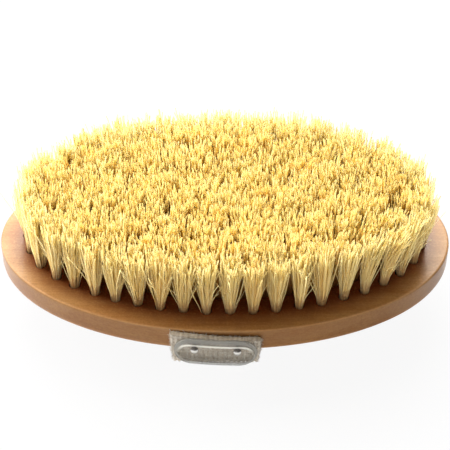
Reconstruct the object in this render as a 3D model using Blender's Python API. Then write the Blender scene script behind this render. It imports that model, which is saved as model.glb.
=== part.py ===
"""Oval body brush with a canvas hand strap, standing on its strap with the bristles up.

Metres, +Z up, +X along the body, -Y the front long side. The origin is on the floor
under the middle of the body.
"""
import math

import bmesh
import bpy
import numpy as np
from mathutils.geometry import delaunay_2d_cdt

# Clearance between pieces that touch on the real brush
GAP = 0.0003

# Wooden body: an oval block, flat on the bristle side and slightly crowned on its back
BODY_LENGTH = 0.140
BODY_WIDTH = 0.080
RIM_THICKNESS = 0.0098
CROWN = 0.0015
ARRIS_ROUND = 0.0008
BACK_ROUND = 0.0035

# Bristles: rows of tufts one inside the other, round a straight row down the middle
BRISTLE_HEIGHT = 0.0223
ROW_MARGIN = 0.0084
ROWS = 5
TUFT_PITCH = 0.00725
TUFT_RADIUS = 0.00095
TIP_RADIUS = 0.0021
ROOT_WIDTH = 0.0006
TIP_WIDTH = 0.00042
STRANDS_PER_TUFT = 3
SLICE_DEPTH = 0.0017
MIDDLE_ROW_SHARE = 0.8

# Hand strap: webbing nailed to the two long sides, with room for a hand under the body
STRAP_WIDTH = 0.027
STRAP_THICKNESS = 0.0018
STRAP_X = -0.0026
STRAP_TOP_DROP = 0.0003
STRAP_SLACK = 0.0017
STRAP_SLANT = math.radians(35)
STRAP_TAIL = 0.001
FLOOR_BEND = 0.006
HAND_GAP = 0.012

# Plates over the strap's ends: a thin flange with a raised, bevelled panel
PLATE_LENGTH = 0.0248
PLATE_HEIGHT = 0.0107
PLATE_DROP = 0.0007
FLANGE_THICKNESS = 0.0008
PANEL_LENGTH = 0.0226
PANEL_HEIGHT = 0.0072
PANEL_BEVEL = 0.0005
PANEL_RISE = 0.0006

# Nails through plate and strap into the wood
NAIL_PITCH = 0.0127
NAIL_DROP = 0.0041
NAIL_LENGTH = 0.0125
NAIL_RADIUS = 0.0006
NAIL_POINT = 0.0018
HEAD_RADIUS = 0.00125
HEAD_HEIGHT = 0.0006
POINT_SHARE = 0.2

# Steps round the curves
BODY_STEPS = 96
ROW_STEPS = 24
BEND_STEPS = 6
NAIL_STEPS = 12
PLATE_END_STEPS = 8
CROWN_SHARES = (0.8, 0.55, 0.25)

# Levels and places that follow from the sizes
HALF_LENGTH = BODY_LENGTH / 2
HALF_WIDTH = BODY_WIDTH / 2
RIM_BOTTOM = STRAP_THICKNESS + HAND_GAP + CROWN
FACE_Z = RIM_BOTTOM + RIM_THICKNESS
ROW_STEP = (HALF_WIDTH - ROW_MARGIN) / ROWS
STRAP_FACE = HALF_WIDTH + GAP + STRAP_THICKNESS
PLATE_BACK = STRAP_FACE + GAP
PANEL_FACE = PLATE_BACK + FLANGE_THICKNESS + PANEL_RISE
HEAD_SEAT = PANEL_FACE + GAP
NAIL_Z = FACE_Z - NAIL_DROP
FRONT, REAR = -1, 1


def principled(name, colour, roughness, metallic=0.0, alpha=1.0):
    """Return a Principled material of one colour."""
    made = bpy.data.materials.new(name)
    made.use_nodes = True
    shader = made.node_tree.nodes["Principled BSDF"]
    shader.inputs["Base Color"].default_value = (*colour, 1.0)
    shader.inputs["Roughness"].default_value = roughness
    shader.inputs["Metallic"].default_value = metallic
    shader.inputs["Alpha"].default_value = alpha
    made.diffuse_color = (*colour, alpha)
    return made


def add_object(name, bm, *materials, smooth_angle=40):
    """Put a bmesh into the scene as one named object with its faces pointing out."""
    bmesh.ops.recalc_face_normals(bm, faces=bm.faces)
    mesh = bpy.data.meshes.new(name)
    bm.to_mesh(mesh)
    bm.free()
    for material in materials:
        mesh.materials.append(material)
    mesh.shade_smooth()
    mesh.set_sharp_from_angle(angle=math.radians(smooth_angle))
    made = bpy.data.objects.new(name, mesh)
    bpy.context.scene.collection.objects.link(made)
    return made


def loft(rings):
    """Join closed rings of points, one after the other, and close both ends flat."""
    bm = bmesh.new()
    rows = [[bm.verts.new(point) for point in ring] for ring in rings]
    count = len(rows[0])
    for lower, upper in zip(rows, rows[1:]):
        for i in range(count):
            j = (i + 1) % count
            bm.faces.new((lower[i], lower[j], upper[j], upper[i]))
    bm.faces.new(rows[0][::-1])
    bm.faces.new(rows[-1])
    return bm


def cut(target, cutter):
    """Take the cutter's shape out of the target."""
    cutter.hide_render = True
    cutter.display_type = "WIRE"
    boolean = target.modifiers.new(cutter.name, "BOOLEAN")
    boolean.operation = "DIFFERENCE"
    boolean.solver = "EXACT"
    boolean.object = cutter


def oval(inset, z, steps=BODY_STEPS):
    """Points of the body's outline drawn in by an inset, at one height."""
    turn = np.linspace(0, 2 * math.pi, steps, endpoint=False)
    across = (HALF_LENGTH - inset) * np.cos(turn)
    along = (HALF_WIDTH - inset) * np.sin(turn)
    return np.column_stack([across, along, np.full(steps, z)])


def quarter(steps=4):
    """Angles from 0 to a right angle."""
    return np.linspace(0, math.pi / 2, steps + 1)


def wooden_body(wood):
    """The block, with a shallow recess for the slices and blind holes for the nails."""
    recess = ROW_MARGIN - ROW_STEP / 2 - GAP / 2
    recess_floor = FACE_Z - SLICE_DEPTH - GAP
    rings = [oval(recess, recess_floor), oval(recess, FACE_Z)]
    for angle in quarter(2):
        inset = ARRIS_ROUND * (1 - math.sin(angle))
        rings.append(oval(inset, FACE_Z - ARRIS_ROUND * (1 - math.cos(angle))))
    for angle in quarter(4):
        inset = BACK_ROUND * (1 - math.cos(angle))
        rings.append(oval(inset, RIM_BOTTOM + BACK_ROUND * (1 - math.sin(angle))))
    back_edge = oval(BACK_ROUND, 0.0)
    for share in CROWN_SHARES:
        ring = back_edge * share
        ring[:, 2] = RIM_BOTTOM - CROWN * (1 - share**2)
        rings.append(ring)
    body = add_object("wooden_body", loft(rings), wood, smooth_angle=30)
    for side, side_name in ((FRONT, "front"), (REAR, "rear")):
        for x, place in nail_places():
            hole = nail_cutter(f"body_hole_{side_name}_{place}", x, side, GAP)
            cut(body, hole)
    return body


def half_row(inset, side, steps=ROW_STEPS):
    """Half of an oval, kept clear of the line where the front and rear halves meet."""
    half_width = HALF_WIDTH - inset
    start = math.asin(GAP / 2 / half_width)
    turn = np.linspace(start, math.pi - start, steps + 1)
    across = (HALF_LENGTH - inset) * np.cos(turn)
    return np.column_stack([across, side * half_width * np.sin(turn)])


def tufts_in_half_row(inset, side):
    """Tuft centres at even steps along half an oval, half a step from its ends."""
    turn = np.linspace(0, math.pi, 400)
    line = np.column_stack(
        [(HALF_LENGTH - inset) * np.cos(turn), side * (HALF_WIDTH - inset) * np.sin(turn)]
    )
    run = np.concatenate([[0], np.cumsum(np.hypot(*np.diff(line, axis=0).T))])
    count = round(run[-1] / TUFT_PITCH)
    stops = (np.arange(count) + 0.5) * run[-1] / count
    return np.column_stack([np.interp(stops, run, line[:, 0]), np.interp(stops, run, line[:, 1])])


def polygon(centre, radius, turn, sides=3):
    """Corners of a small regular polygon, counter-clockwise."""
    angles = turn + np.arange(sides) * 2 * math.pi / sides
    return centre + radius * np.column_stack([np.cos(angles), np.sin(angles)])


def strands(tufts):
    """Root and tip triangles of every strand: each tuft opens out towards its tips."""
    roots, tips = [], []
    for tuft in tufts:
        outward = math.atan2(tuft[1], tuft[0])
        for corner in range(STRANDS_PER_TUFT):
            turn = outward + corner * 2 * math.pi / STRANDS_PER_TUFT
            way = np.array([math.cos(turn), math.sin(turn)])
            roots.append(polygon(tuft + TUFT_RADIUS * way, ROOT_WIDTH, turn))
            tips.append(polygon(tuft + TIP_RADIUS * way, TIP_WIDTH, turn))
    return roots, tips


def bristle_slice(name, outline, tufts, wood, bristle):
    """A slice of the wooden face with its strands growing out of it as one solid."""
    if np.cross(np.roll(outline, -1, 0) - outline, outline).sum() > 0:
        outline = outline[::-1]
    roots, tips = strands(tufts)
    flat = np.concatenate([outline, *roots])
    edge_count = len(outline)
    loops = [list(range(edge_count))]
    loops += [list(range(start, start + 3)) for start in range(edge_count, len(flat), 3)]
    found = delaunay_2d_cdt([tuple(p) for p in flat], [], loops, 1, 1e-7)
    triangles, came_from = found[2], found[5]
    to_input = [sources[0] for sources in found[3]]

    bm = bmesh.new()
    top = [bm.verts.new((x, y, FACE_Z)) for x, y in flat]
    bottom = [bm.verts.new((x, y, FACE_Z - SLICE_DEPTH)) for x, y in outline]
    for triangle, sources in zip(triangles, came_from):
        if max(sources) == 0:
            bm.faces.new([top[to_input[v]] for v in triangle])
    for i in range(edge_count):
        j = (i + 1) % edge_count
        bm.faces.new((bottom[i], bottom[j], top[j], top[i]))
    bm.faces.new(bottom[::-1])
    for number, tip in enumerate(tips):
        root = top[edge_count + 3 * number : edge_count + 3 * number + 3]
        end = [bm.verts.new((x, y, FACE_Z + BRISTLE_HEIGHT)) for x, y in tip]
        grown = [bm.faces.new(end)]
        for i in range(3):
            j = (i + 1) % 3
            grown.append(bm.faces.new((root[i], root[j], end[j], end[i])))
        for face in grown:
            face.material_index = 1
    return add_object(name, bm, wood, bristle)


def bristle_rows(wood, bristle):
    """Front and rear half of each row, and the straight row down the middle."""
    for row in range(ROWS):
        inset = ROW_MARGIN + row * ROW_STEP
        for side, side_name in ((FRONT, "front"), (REAR, "rear")):
            outer = half_row(inset - ROW_STEP / 2 + GAP / 2, side)
            inner = half_row(inset + ROW_STEP / 2 - GAP / 2, side)
            outline = np.concatenate([outer, inner[::-1]])
            tufts = tufts_in_half_row(inset, side)
            bristle_slice(f"bristle_row_{row + 1}_{side_name}", outline, tufts, wood, bristle)
    core_inset = ROW_MARGIN + (ROWS - 0.5) * ROW_STEP + GAP / 2
    outline = oval(core_inset, 0.0, 2 * ROW_STEPS)[:, :2]
    reach = MIDDLE_ROW_SHARE * (HALF_LENGTH - HALF_WIDTH)
    count = round(2 * reach / TUFT_PITCH) + 1
    tufts = np.column_stack([np.linspace(-reach, reach, count), np.zeros(count)])
    bristle_slice("bristle_row_middle", outline, tufts, wood, bristle)


def ribbon(route, half_width, thickness):
    """A flat band of one width and thickness along a route of (y, z) points."""
    way = np.gradient(route, axis=0)
    way /= np.linalg.norm(way, axis=1)[:, None]
    out = np.column_stack([way[:, 1], -way[:, 0]]) * thickness / 2
    rings = []
    for (y, z), (out_y, out_z) in zip(route, out):
        rings.append(
            [
                (STRAP_X - half_width, y + out_y, z + out_z),
                (STRAP_X + half_width, y + out_y, z + out_z),
                (STRAP_X + half_width, y - out_y, z - out_z),
                (STRAP_X - half_width, y - out_y, z - out_z),
            ]
        )
    return loft(rings)


def bend(centre, radius, start, end):
    """Points of an arc in the (y, z) plane."""
    turn = np.linspace(start, end, BEND_STEPS + 1)
    return np.column_stack([centre[0] + radius * np.cos(turn), centre[1] + radius * np.sin(turn)])


def line_points(start, end, steps=3):
    """Points along a straight stretch, both ends left out."""
    share = np.linspace(0, 1, steps + 2)[1:-1, None]
    return np.asarray(start) * (1 - share) + np.asarray(end) * share


def strap_routes():
    """Centre lines, in (y, z): the front end of the strap, and its free band.

    The end goes down the side of the body and round its back edge. The band slants in
    from there at the same angle, lies flat on the floor and rises to the rear end.
    """
    edge_radius = BACK_ROUND + GAP + STRAP_THICKNESS / 2
    edge_centre = (BACK_ROUND - HALF_WIDTH, RIM_BOTTOM + BACK_ROUND - STRAP_SLACK)
    level = 1.5 * math.pi - STRAP_SLANT
    edge_bend = bend(edge_centre, edge_radius, math.pi, level)
    top = np.array([[edge_bend[0, 0], FACE_Z - STRAP_TOP_DROP]])
    slant = np.array([math.cos(STRAP_SLANT), -math.sin(STRAP_SLANT)])
    tail = edge_bend[-1] + STRAP_TAIL * slant
    end_route = np.concatenate([top, line_points(top[0], edge_bend[0]), edge_bend, [tail]])

    band_start = tail + GAP * slant
    floor_level = STRAP_THICKNESS / 2 + FLOOR_BEND
    bend_start = floor_level + FLOOR_BEND * math.sin(level)
    run = (band_start[1] - bend_start) / math.tan(STRAP_SLANT)
    floor_centre = (band_start[0] + run - FLOOR_BEND * math.cos(level), floor_level)
    floor_bend = bend(floor_centre, FLOOR_BEND, level, 1.5 * math.pi)
    half = np.concatenate([[band_start], line_points(band_start, floor_bend[0]), floor_bend])
    middle = line_points(half[-1], half[-1] * (-1, 1), 5)
    band_route = np.concatenate([half, middle, half[::-1] * (-1, 1)])
    return end_route, band_route


def hand_strap(webbing):
    """The two nailed ends and the free band between them."""
    end_route, band_route = strap_routes()
    for side, side_name in ((FRONT, "front"), (REAR, "rear")):
        route = end_route * (-side, 1)
        end = add_object(
            f"strap_{side_name}_end", ribbon(route, STRAP_WIDTH / 2, STRAP_THICKNESS), webbing
        )
        for x, place in nail_places():
            cut(end, nail_cutter(f"strap_hole_{side_name}_{place}", x, side, GAP))
    add_object("strap_band", ribbon(band_route, STRAP_WIDTH / 2, STRAP_THICKNESS), webbing)


def oblong(length, height, y):
    """Outline with round ends, standing in the plane of the body's side."""
    radius = height / 2
    half = np.linspace(-math.pi / 2, math.pi / 2, PLATE_END_STEPS + 1)
    reach = length / 2 - radius
    right = np.column_stack([reach + radius * np.cos(half), radius * np.sin(half)])
    outline = np.concatenate([right, -right])
    level = FACE_Z - PLATE_DROP - PLATE_HEIGHT / 2
    return [(STRAP_X + x, y, level + z) for x, z in outline]


def strap_plate(side, side_name, plastic):
    """The flange, its raised panel with bevelled edges, and two holes for the nails."""
    flange_face = PLATE_BACK + FLANGE_THICKNESS
    rings = [
        oblong(PLATE_LENGTH, PLATE_HEIGHT, side * PLATE_BACK),
        oblong(PLATE_LENGTH, PLATE_HEIGHT, side * flange_face),
        oblong(PANEL_LENGTH, PANEL_HEIGHT, side * flange_face),
        oblong(
            PANEL_LENGTH - 2 * PANEL_BEVEL, PANEL_HEIGHT - 2 * PANEL_BEVEL, side * PANEL_FACE
        ),
    ]
    plate = add_object(f"strap_plate_{side_name}", loft(rings), plastic)
    for x, place in nail_places():
        cut(plate, nail_cutter(f"plate_hole_{side_name}_{place}", x, side, GAP))


def nail_places():
    """Where the two nails of a side stand along the strap."""
    return (STRAP_X - NAIL_PITCH / 2, "left"), (STRAP_X + NAIL_PITCH / 2, "right")


def turned(profile, x, side):
    """Turn (radius, depth) pairs about a nail's axis; depth runs in from the head's seat."""
    turn = np.linspace(0, 2 * math.pi, NAIL_STEPS, endpoint=False)
    rings = []
    for radius, depth in profile:
        y = side * (HEAD_SEAT - depth)
        rings.append([(x + radius * math.cos(t), y, NAIL_Z + radius * math.sin(t)) for t in turn])
    return loft(rings)


def nail_cutter(name, x, side, clearance):
    """A plain pin a clearance wider and longer than the nail's shank."""
    radius = NAIL_RADIUS + clearance
    profile = [(radius, -HEAD_HEIGHT), (radius, NAIL_LENGTH + clearance)]
    return add_object(name, turned(profile, x, side))


def nail(x, side, side_name, place, steel):
    """A domed head on a round shank with a short point."""
    tip = NAIL_RADIUS * POINT_SHARE
    profile = []
    for angle in quarter(3)[::-1]:
        radius = max(HEAD_RADIUS * math.cos(angle), tip)
        profile.append((radius, -HEAD_HEIGHT * math.sin(angle)))
    profile += [
        (NAIL_RADIUS, 0.0),
        (NAIL_RADIUS, NAIL_LENGTH - NAIL_POINT),
        (tip, NAIL_LENGTH),
    ]
    add_object(f"nail_{side_name}_{place}", turned(profile, x, side), steel)


def main():
    """Clear the scene and build the brush."""
    for old in list(bpy.data.objects):
        bpy.data.objects.remove(old, do_unlink=True)
    wood = principled("lacquered_wood", (0.42, 0.20, 0.08), 0.32)
    bristle = principled("bristle", (0.78, 0.56, 0.22), 0.5)
    webbing = principled("canvas_webbing", (0.43, 0.35, 0.24), 0.9)
    plastic = principled("clear_plastic", (0.50, 0.52, 0.50), 0.2, alpha=0.55)
    steel = principled("bright_steel", (0.72, 0.72, 0.70), 0.2, metallic=1.0)

    wooden_body(wood)
    bristle_rows(wood, bristle)
    hand_strap(webbing)
    for side, side_name in ((FRONT, "front"), (REAR, "rear")):
        strap_plate(side, side_name, plastic)
        for x, place in nail_places():
            nail(x, side, side_name, place, steel)


main()
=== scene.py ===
"""The looks of an oval body brush: drilled wood, tufts of fibre, webbing, plates and nails.

Metres, in the packed model's own frame: +Z up, +X along the body, -Y the front side.
"""
import math

import bpy
import numpy as np
from bpy.props import FloatProperty, FloatVectorProperty, IntProperty, PointerProperty
from bpy.types import Operator, Panel, PropertyGroup
from mathutils import Matrix, Vector
from mathutils.geometry import delaunay_2d_cdt


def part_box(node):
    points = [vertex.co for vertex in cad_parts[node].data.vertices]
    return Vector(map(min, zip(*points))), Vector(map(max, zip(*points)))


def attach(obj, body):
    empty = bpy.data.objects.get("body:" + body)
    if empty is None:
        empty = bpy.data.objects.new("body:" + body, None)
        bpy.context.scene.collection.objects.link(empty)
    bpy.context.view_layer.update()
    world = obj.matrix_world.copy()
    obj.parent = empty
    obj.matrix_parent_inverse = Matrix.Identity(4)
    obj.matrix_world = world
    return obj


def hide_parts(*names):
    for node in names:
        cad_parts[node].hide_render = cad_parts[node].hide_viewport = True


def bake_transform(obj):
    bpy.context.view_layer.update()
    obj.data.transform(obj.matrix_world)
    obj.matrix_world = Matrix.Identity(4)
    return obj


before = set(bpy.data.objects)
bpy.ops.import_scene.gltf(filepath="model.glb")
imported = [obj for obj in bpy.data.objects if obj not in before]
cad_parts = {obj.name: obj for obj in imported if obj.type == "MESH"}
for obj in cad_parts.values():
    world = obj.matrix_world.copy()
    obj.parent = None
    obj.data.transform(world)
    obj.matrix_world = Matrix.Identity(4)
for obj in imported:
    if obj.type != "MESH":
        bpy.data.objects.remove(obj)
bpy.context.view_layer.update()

bl_info = {
    "name": "Body brush looks",
    "version": (1, 0, 0),
    "blender": (4, 5, 0),
    "location": "3D View > Sidebar > Body brush",
    "description": "Finishes an oval body brush around its packed model",
    "category": "Object",
}

MM = 0.001
SEED = 7

# Places read from the packed model
BODY, BAND = "brush", "strap"
BLOCK_LOW, BLOCK_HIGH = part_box("wooden_body")
HALF_LENGTH, HALF_WIDTH, FACE_Z = BLOCK_HIGH
TIP_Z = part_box("bristle_row_1_front")[1].z
STRAP_LOW, STRAP_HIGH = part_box("strap_front_end")
PLATE_LOW, PLATE_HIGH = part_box("strap_plate_front")
STRAP_X = (STRAP_LOW.x + STRAP_HIGH.x) / 2
SIDES = {"front": -1, "rear": 1}
ROWS = sum(name.endswith("_front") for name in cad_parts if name.startswith("bristle_row"))


def row_slice(row):
    """Half length and half width of a row's slice, at its outer edge."""
    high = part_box(f"bristle_row_{row}_rear")[1]
    return np.array([high.x, high.y])


ROW_STEP = (row_slice(1) - row_slice(2))[0]


def colour_property(name, description, default):
    """A colour that a user can change."""
    return FloatVectorProperty(
        name=name, description=description, default=default, size=3, min=0, max=1, subtype="COLOR"
    )


def length_property(name, description, millimetres):
    """A length that a user can change, given in millimetres."""
    return FloatProperty(
        name=name,
        description=description,
        default=millimetres * MM,
        precision=5,
        unit="LENGTH",
        subtype="DISTANCE",
    )


def angle_property(name, description, degrees):
    """An angle that a user can change, given in degrees."""
    return FloatProperty(
        name=name, description=description, default=math.radians(degrees), subtype="ANGLE"
    )


def plain_property(name, description, default):
    """A plain number that a user can change."""
    return FloatProperty(name=name, description=description, default=default)


class BrushBlockLook(PropertyGroup):
    """Sizes and colours of the wooden block."""

    arris_round: length_property("Arris", "Radius of the edge round the face", 0.6)
    back_round: length_property("Back edge", "Radius of the edge round the back", 3.5)
    crown: length_property("Crown", "How far the back's middle stands out", 1.4)
    hole_radius: length_property("Hole", "Radius of the drilled holes", 1.55)
    hole_depth: length_property("Hole depth", "Depth of the drilled holes", 4.5)
    hole_chamfer: length_property("Hole edge", "Broken edge of the drilled holes", 0.14)
    light_wood: colour_property("Light wood", "Colour of the pale bands", (0.61, 0.32, 0.115))
    dark_wood: colour_property("Dark wood", "Colour of the dark bands", (0.42, 0.165, 0.04))
    pore: colour_property("Flecks", "Colour of the short flecks", (0.28, 0.115, 0.035))
    # Painted shade: dark red-brown for the drilled middle and its border, where the tufts shade
    # the wood.
    stain_and_painted_shade: colour_property("Shade", "Colour of the drilled middle", (0.22, 0.032, 0.003))
    roughness: plain_property("Roughness", "Of the lacquer", 0.32)


class BrushTuftLook(PropertyGroup):
    """Sizes and colours of the fibres."""

    pitch: length_property("Pitch", "Distance between the tufts of a row", 7.0)
    phase: length_property("Phase", "From the front's middle to the first tuft", 1.6)
    swept: length_property("Swept", "Lean of the tufts at the front right", 2.6)
    fibres: IntProperty(name="Fibres", description="Fibres in one tuft", default=104, min=3)
    root_radius: length_property("Root", "Radius of a tuft where it leaves its hole", 1.08)
    tip_radius: length_property("Spread", "Radius of a tuft at its tips", 3.75)
    fibre_width: length_property("Fibre", "Thickness of a fibre near its tip", 0.4)
    sink: length_property("Sink", "How far a fibre reaches into its hole", 2.5)
    ragged: length_property("Ragged", "How far the tips differ in height", 1.9)
    stray: plain_property("Strays", "Share of bent fibres", 0.08)
    through: plain_property("Light through", "Share of light that goes through a fibre", 0.9)
    root_colour: colour_property("Root colour", "Colour in the hole", (0.68, 0.44, 0.22))
    middle_colour: colour_property("Middle colour", "Colour half way", (1.0, 0.89, 0.58))
    tip_colour: colour_property("Tip colour", "Colour at the cut ends", (1.0, 0.92, 0.58))
    pale_colour: colour_property("Pale fibre", "Colour of the palest fibres", (1.0, 0.96, 0.78))


class BrushStrapLook(PropertyGroup):
    """Sizes and colours of the webbing."""

    thickness: length_property("Thickness", "Of the webbing", 1.8)
    slant: angle_property("Slant", "How steeply the band leaves the body", 35)
    edge_bend: length_property("Edge bend", "Radius of its middle round the wood's edge", 2.1)
    floor_bend: length_property("Floor bend", "Radius of its middle where it meets the floor", 6)
    rib_pitch: length_property("Ribs", "Distance between the ribs along it", 1.45)
    rib_height: length_property("Rib height", "How far the ribs stand out", 0.24)
    crooked: length_property("Crooked cut", "How much lower the cut end is on its right", 1.9)
    drawn_in: plain_property("Drawn in", "How much narrower the strap is below", 0.06)
    fray: length_property("Fray", "Length of the loose threads at the cut end", 0.9)
    thread: colour_property("Thread", "Colour of the thread", (1.0, 0.94, 0.82))
    shade: colour_property("Between threads", "Colour between the threads", (0.46, 0.35, 0.25))


class BrushPlateLook(PropertyGroup):
    """Sizes and colours of the plates and the nails."""

    flange: length_property("Flange", "Thickness of the thin rim", 0.8)
    panel_length: length_property("Panel length", "Length of the raised panel", 23.2)
    panel_height: length_property("Panel height", "Height of the raised panel", 7.6)
    bevel: length_property("Bevel", "Width of the panel's slope", 0.22)
    bead: length_property("Bead", "Width of the round bead along the panel's edge", 0.8)
    edge_round: length_property("Edge", "Radius of the moulded edges", 0.22)
    nail_hole: length_property("Nail hole", "Radius of the holes for the nails", 0.9)
    plastic: colour_property("Plastic", "Colour of the cloudy rim", (0.40, 0.40, 0.365))
    panel_tint: colour_property("Panel", "Colour of the clear panel", (0.42, 0.38, 0.30))
    tilt: angle_property("Tilt", "Turn of the nailed plate, right end down", 2.2)
    head_height: length_property("Head", "Height of a nail's dome", 1.0)
    steel: colour_property("Steel", "Colour of the nails", (0.78, 0.77, 0.74))


class BrushStageLook(PropertyGroup):
    """Camera, lamps and floor."""

    elevation: angle_property("Elevation", "How steeply the camera looks down", 44.3)
    roll: angle_property("Roll", "Turn of the camera about its own line of sight", 0.26)
    distance: length_property("Distance", "From the camera to the point it looks at", 480)
    aim: length_property("Aim", "Height of that point over the wood's face", 5.0)
    focal: plain_property("Lens", "Focal length in millimetres", 123.56)
    key_power: plain_property("Key lamp", "Watts overhead", 12.5)
    back_power: plain_property("Back lamp", "Watts low at the back", 9.2)
    side_power: plain_property("Side lamp", "Watts on the left", 11.5)
    fill_power: plain_property("Fill lamp", "Watts low in front", 2.1)
    sky: plain_property("Sky", "Light from all round", 0.15)
    floor: colour_property("Floor", "Colour of the pale floor", (0.90, 0.90, 0.90))
    floor_light: plain_property("Floor light", "Share of plain white that the camera sees", 0.92)


LOOKS = {
    "brush_block": BrushBlockLook,
    "brush_tufts": BrushTuftLook,
    "brush_strap": BrushStrapLook,
    "brush_plates": BrushPlateLook,
    "brush_stage": BrushStageLook,
}


# Meshes

def new_object(name, data):
    """An object in the scene, at the origin."""
    made = bpy.data.objects.new(name, data)
    bpy.context.scene.collection.objects.link(made)
    return made


def mesh_object(name, points, quads=(), triangles=(), sharp=None):
    """A mesh object at the origin, from arrays of points, four-sided and three-sided faces."""
    quads = np.asarray(quads, int).reshape(-1, 4)
    triangles = np.asarray(triangles, int).reshape(-1, 3)
    corners = np.concatenate([quads.ravel(), triangles.ravel()])
    sizes = np.concatenate([np.full(len(quads), 4), np.full(len(triangles), 3)])
    starts = np.concatenate([[0], np.cumsum(sizes)[:-1]])
    mesh = bpy.data.meshes.new(name)
    mesh.vertices.add(len(points))
    mesh.vertices.foreach_set("co", np.asarray(points, np.float32).ravel())
    mesh.loops.add(len(corners))
    mesh.loops.foreach_set("vertex_index", corners.astype(np.int32))
    mesh.polygons.add(len(sizes))
    mesh.polygons.foreach_set("loop_start", starts.astype(np.int32))
    mesh.update(calc_edges=True)
    if mesh.validate():
        raise RuntimeError(f"{name}: the mesh has faces or points that don't fit together")
    mesh.shade_smooth()
    if sharp is not None:
        mesh.set_sharp_from_angle(angle=math.radians(sharp))
    return new_object(name, mesh)


def grid_faces(rows, columns):
    """Four-sided faces of a grid of points, row by row, whose columns close on themselves.

    Row i, column j is joined to row i + 1 and column j + 1.
    """
    i, j = np.indices((rows - 1, columns))
    k = (j + 1) % columns
    corners = ((i, j), (i, k), (i + 1, k), (i + 1, j))
    return np.stack([row * columns + column for row, column in corners], -1).reshape(-1, 4)


def fan(ring, centre, flip=False):
    """Three-sided faces from each edge of a ring of point numbers to one centre point."""
    ring = np.asarray(ring)
    faces = np.column_stack([ring, np.roll(ring, -1), np.full(len(ring), centre)])
    return faces[:, ::-1] if flip else faces


def closed_rings(rings, steps):
    """Faces that join rings of points one to the next and close them with two centre points.

    The centre points are the last two points of the mesh.
    """
    count = rings * steps
    first = fan(np.arange(steps), count, flip=True)
    last = fan(np.arange(count - steps, count), count + 1)
    return grid_faces(rings, steps), np.concatenate([first, last])


def run_along(line):
    """Distance along a line from its start to each of its points."""
    return np.concatenate([[0], np.cumsum(np.hypot(*np.diff(line, axis=0).T))])


def at_stops(line, run, stops):
    """Points of a line at given distances along it."""
    return np.column_stack([np.interp(stops, run, part) for part in line.T])


def point_attribute(made, name, values):
    """Store one number for each point of a mesh, for its material to read."""
    layer = made.data.attributes.new(name, "FLOAT", "POINT")
    layer.data.foreach_set("value", np.asarray(values, np.float32).ravel())


def tubes(lines, radii, sides=4):
    """Tapered tubes along many lines at once, closed at both ends.

    lines is (tube, step, 3) and radii is (tube, step). Each ring stands square to the
    line's direction there: centre + radius * (cos(a) * across + sin(a) * over).
    """
    count, steps, _ = lines.shape
    way = np.gradient(lines, axis=1)
    way /= np.linalg.norm(way, axis=2, keepdims=True)
    start = np.where(np.abs(way[:, :1, 2:]) > 0.8, [1.0, 0.0, 0.0], [0.0, 0.0, 1.0])
    across = np.cross(np.broadcast_to(start, way.shape), way)
    across /= np.linalg.norm(across, axis=2, keepdims=True)
    over = np.cross(way, across)
    turn = np.arange(sides)[:, None] * 2 * np.pi / sides
    ring = np.cos(turn) * across[:, :, None] + np.sin(turn) * over[:, :, None]
    points = lines[:, :, None, :] + radii[:, :, None, None] * ring
    one = grid_faces(steps, sides)
    ends = np.array([np.arange(sides)[::-1], (steps - 1) * sides + np.arange(sides)])
    faces = np.concatenate([one, ends])
    offset = np.arange(count)[:, None, None] * steps * sides
    return points.reshape(-1, 3), (faces[None] + offset).reshape(-1, 4)


def waves(rng, *axes, count=5):
    """Smooth unevenness from -1 to 1: a sum of sine waves with directions and phases from rng."""
    total = 0
    for _ in range(count):
        phase = rng.uniform(0, 2 * np.pi)
        turn = sum(rng.normal(0, 1) * axis for axis in axes)
        total = total + np.sin(turn + phase)
    return total / count


# Materials

PALE_SPECK = (0.66, 0.35, 0.12)
# Partly wear, partly a painted highlight along the arris.
WORN_EDGE_AND_HIGHLIGHT = (0.80, 0.42, 0.15)
# Painted shade for the upright sides.
SIDE_PAINTED_SHADE = (0.60, 0.55, 0.47)
# Painted shade inside the drilled holes.
HOLE_PAINTED_SHADE = (0.07, 0.028, 0.012)
WARM_GLARE = (1.0, 0.90, 0.71, 1.0)
# The warmer and deeper tints are painted amber shade and painted dark shade between the inner
# rows.
BROWNER, AMBER_PAINTED_SHADE, DEEP_PAINTED_SHADE = (1.0, 0.88, 0.62), (1.0, 0.85, 0.54), (0.62, 0.38, 0.17)
# Painted shade for the fibres' cut ends.
CUT_END_PAINTED_SHADE = (0.92, 0.89, 0.86)
CANVAS_BLOTCH = (0.42, 0.34, 0.24)
PLASTIC_CLOUD = (0.36, 0.35, 0.31)
# Painted highlight and painted shade for the top and bottom of the plate's bead.
BEAD_PAINTED_HIGHLIGHT, BEAD_PAINTED_SHADE = (0.95, 0.92, 0.82), (0.16, 0.13, 0.09)
# The second colour is a painted dark reflection for the upper part of the nails' heads.
STEEL_STAIN, STEEL_DARK_REFLECTION = (0.42, 0.38, 0.33), (0.045, 0.036, 0.028)


class NodeTree:
    """A short way to write nodes."""

    def __init__(self, tree):
        self.tree = tree

    def feed(self, socket, value):
        """Give a socket a value, or join it to another socket."""
        if isinstance(value, bpy.types.NodeSocket):
            self.tree.links.new(value, socket)
        else:
            socket.default_value = value

    def node(self, kind, inputs=None, **settings):
        """A node with its settings, and its inputs given as values or as other sockets."""
        made = self.tree.nodes.new(kind)
        for key, value in settings.items():
            setattr(made, key, value)
        for key, value in (inputs or {}).items():
            self.feed(made.inputs[key], value)
        return made

    def maths(self, operation, first, second=0.0, clamp=False):
        """One sum of two numbers."""
        inputs = {0: first, 1: second}
        return self.node("ShaderNodeMath", inputs, operation=operation, use_clamp=clamp).outputs[0]

    def plus(self, first, second, clamp=False):
        """Two numbers added."""
        return self.maths("ADD", first, second, clamp)

    def by(self, first, second):
        """Two numbers multiplied."""
        return self.maths("MULTIPLY", first, second)


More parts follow.
